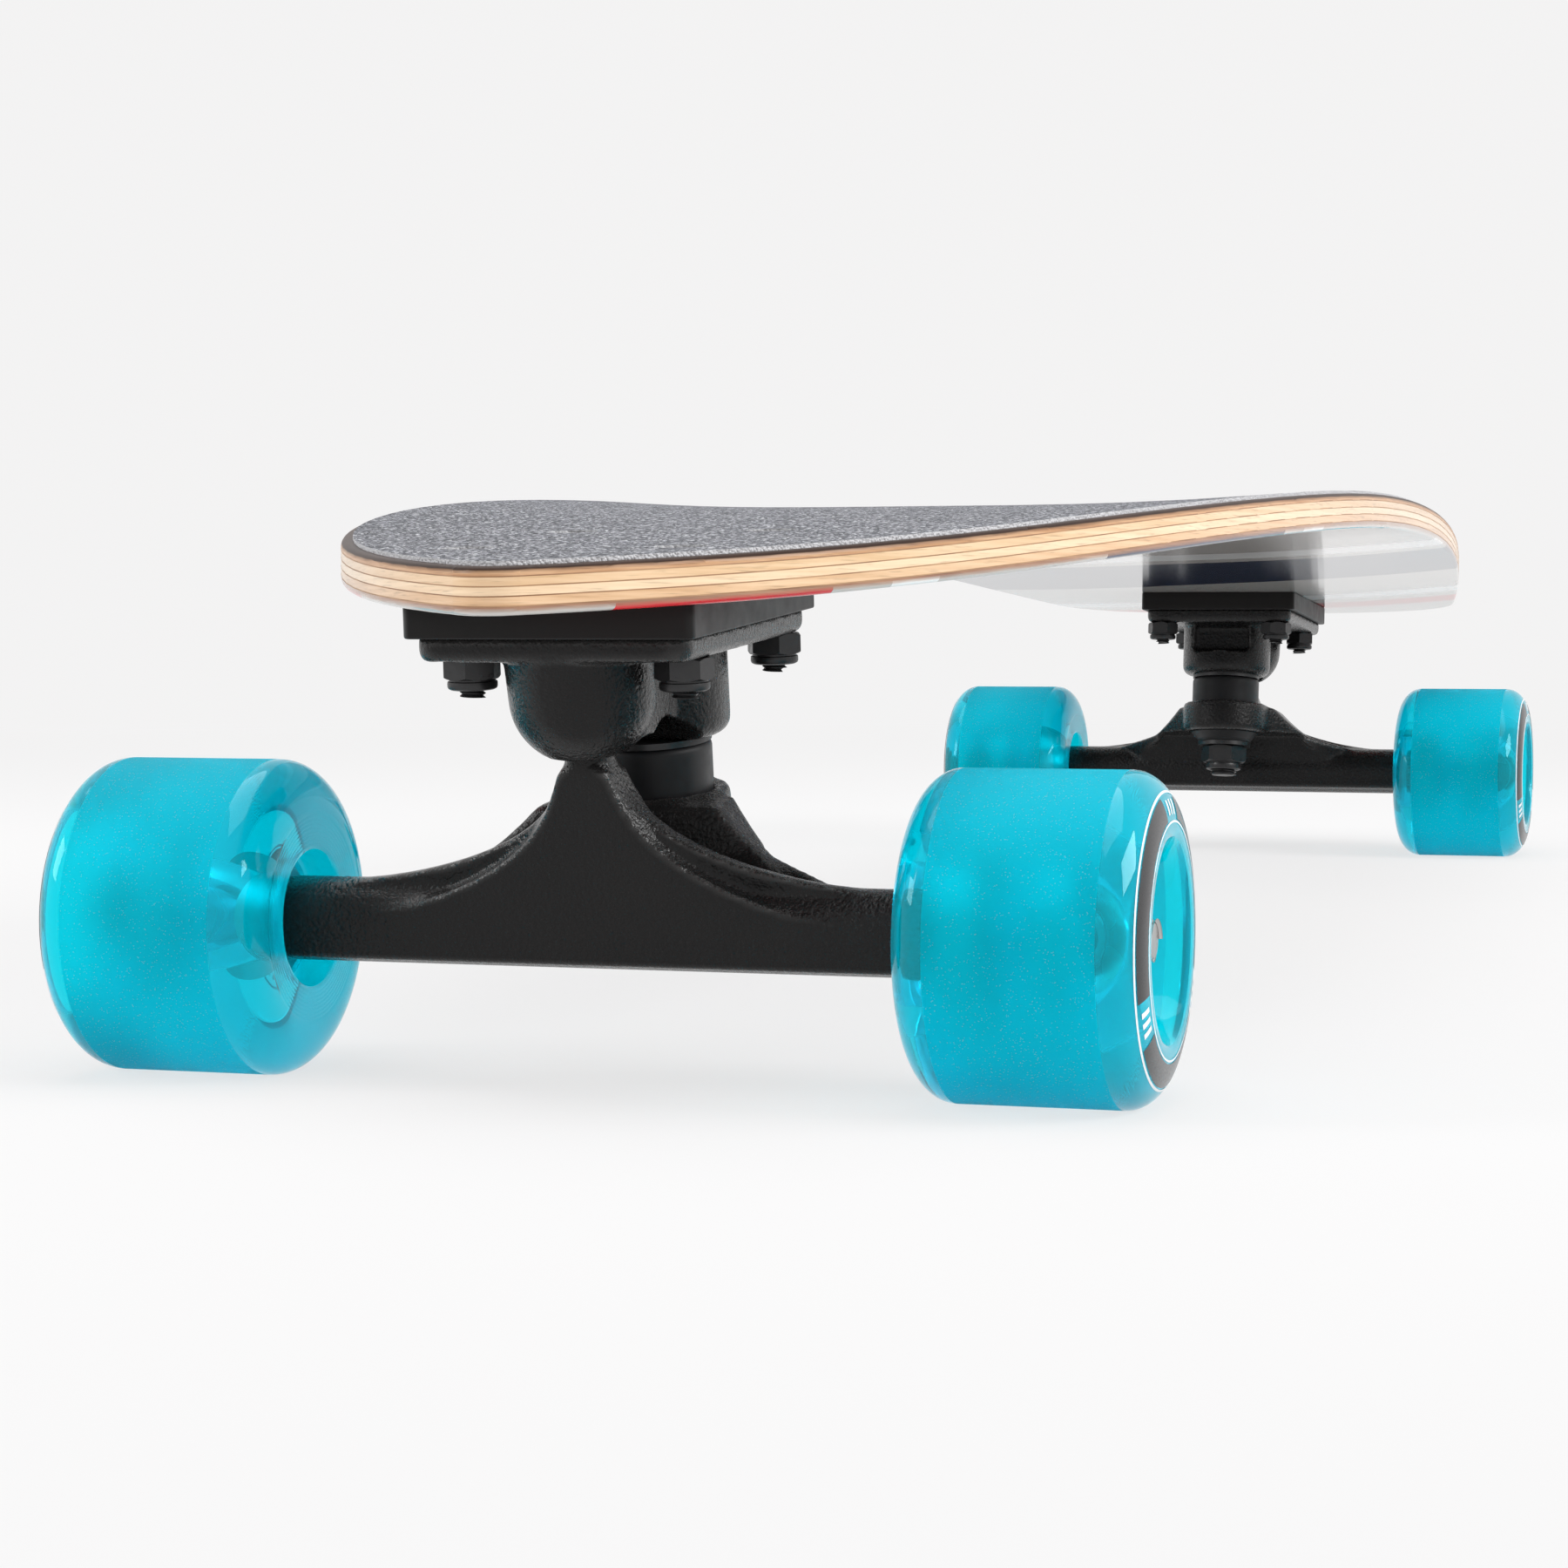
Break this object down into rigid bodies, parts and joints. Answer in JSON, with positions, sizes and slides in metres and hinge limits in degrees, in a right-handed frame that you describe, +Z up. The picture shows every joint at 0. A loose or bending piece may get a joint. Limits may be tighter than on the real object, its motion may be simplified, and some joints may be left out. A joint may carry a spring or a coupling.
{
  "type": "longboard skateboard",
  "caption": "Cambered laminated longboard with a pointed tail, grit top, sprung leaning trucks and translucent urethane wheels on ball bearings.",
  "frame": {"origin": "on the floor under the middle of the board", "axes": "+X along the board towards the blunt end, +Y to the left seen from the pointed end, +Z up"},
  "size_m": [0.8, 0.215, 0.1198],
  "materials": {
    "deck_wood": "clear lacquer",
    "grip_sheet": "coarse grit",
    "truck_paint": "satin textured powder coat",
    "riser_plastic": "smooth matte",
    "bushing_urethane": "satin",
    "black_steel": "black oxide",
    "axle_steel": "turned",
    "bearing_steel": "ground",
    "wheel_urethane": "translucent, frosted tread and glossy lips"
  },
  "bodies": {
    "deck": {"deck_ply_1": "deck_wood", "deck_ply_2": "deck_wood", "deck_ply_3": "deck_wood", "deck_ply_4": "deck_wood", "deck_ply_5": "deck_wood", "grip_tape": "grip_sheet", "front_riser_pad": "riser_plastic", "front_baseplate": "truck_paint", "front_pivot_cup": "bushing_urethane", "front_kingpin": "black_steel", "front_kingpin_nut": "black_steel", "front_upper_bushing": "bushing_urethane", "front_lower_bushing": "bushing_urethane", "front_bushing_washers": "black_steel", "front_deck_bolts": "black_steel", "front_deck_lock_nuts": "black_steel", "rear_riser_pad": "riser_plastic", "rear_baseplate": "truck_paint", "rear_pivot_cup": "bushing_urethane", "rear_kingpin": "black_steel", "rear_kingpin_nut": "black_steel", "rear_upper_bushing": "bushing_urethane", "rear_lower_bushing": "bushing_urethane", "rear_bushing_washers": "black_steel", "rear_deck_bolts": "black_steel", "rear_deck_lock_nuts": "black_steel"},
    "front_truck": {"front_hanger": "truck_paint", "front_axle": "axle_steel", "front_axle_nuts": "black_steel", "front_speed_washers": "axle_steel", "front_left_bearing_inner_rings": "bearing_steel", "front_left_bearing_spacer": "bearing_steel", "front_right_bearing_inner_rings": "bearing_steel", "front_right_bearing_spacer": "bearing_steel"},
    "front_left_wheel_set": {"front_left_wheel": "wheel_urethane", "front_left_bearing_outer_rings": "bearing_steel", "front_left_bearing_balls": "bearing_steel", "front_left_bearing_shields": "bearing_steel"},
    "front_right_wheel_set": {"front_right_wheel": "wheel_urethane", "front_right_bearing_outer_rings": "bearing_steel", "front_right_bearing_balls": "bearing_steel", "front_right_bearing_shields": "bearing_steel"},
    "rear_truck": {"rear_hanger": "truck_paint", "rear_axle": "axle_steel", "rear_axle_nuts": "black_steel", "rear_speed_washers": "axle_steel", "rear_left_bearing_inner_rings": "bearing_steel", "rear_left_bearing_spacer": "bearing_steel", "rear_right_bearing_inner_rings": "bearing_steel", "rear_right_bearing_spacer": "bearing_steel"},
    "rear_left_wheel_set": {"rear_left_wheel": "wheel_urethane", "rear_left_bearing_outer_rings": "bearing_steel", "rear_left_bearing_balls": "bearing_steel", "rear_left_bearing_shields": "bearing_steel"},
    "rear_right_wheel_set": {"rear_right_wheel": "wheel_urethane", "rear_right_bearing_outer_rings": "bearing_steel", "rear_right_bearing_balls": "bearing_steel", "rear_right_bearing_shields": "bearing_steel"}
  },
  "joints": [
    {"name": "front_truck_lean", "type": "hinge", "parent": "deck", "child": "front_truck", "pos_m": [-0.35097, 0, 0.07179], "axis": [-0.8695, 0, 0.4939], "range_deg": [-12, 12], "stiffness_Nm_per_rad": 45, "deforming": ["front_upper_bushing", "front_lower_bushing"]},
    {"name": "front_left_wheel_spin", "type": "hinge", "parent": "front_truck", "child": "front_left_wheel_set", "pos_m": [-0.33756, 0.0837, 0.0305], "axis": [0, 1, 0], "continuous": true},
    {"name": "front_right_wheel_spin", "type": "hinge", "parent": "front_truck", "child": "front_right_wheel_set", "pos_m": [-0.33756, -0.0837, 0.0305], "axis": [0, 1, 0], "continuous": true},
    {"name": "rear_truck_lean", "type": "hinge", "parent": "deck", "child": "rear_truck", "pos_m": [0.35097, 0, 0.07179], "axis": [-0.8695, 0, -0.4939], "range_deg": [-12, 12], "stiffness_Nm_per_rad": 45, "deforming": ["rear_upper_bushing", "rear_lower_bushing"]},
    {"name": "rear_left_wheel_spin", "type": "hinge", "parent": "rear_truck", "child": "rear_left_wheel_set", "pos_m": [0.33756, 0.0837, 0.0305], "axis": [0, 1, 0], "continuous": true},
    {"name": "rear_right_wheel_spin", "type": "hinge", "parent": "rear_truck", "child": "rear_right_wheel_set", "pos_m": [0.33756, -0.0837, 0.0305], "axis": [0, 1, 0], "continuous": true}
  ]
}
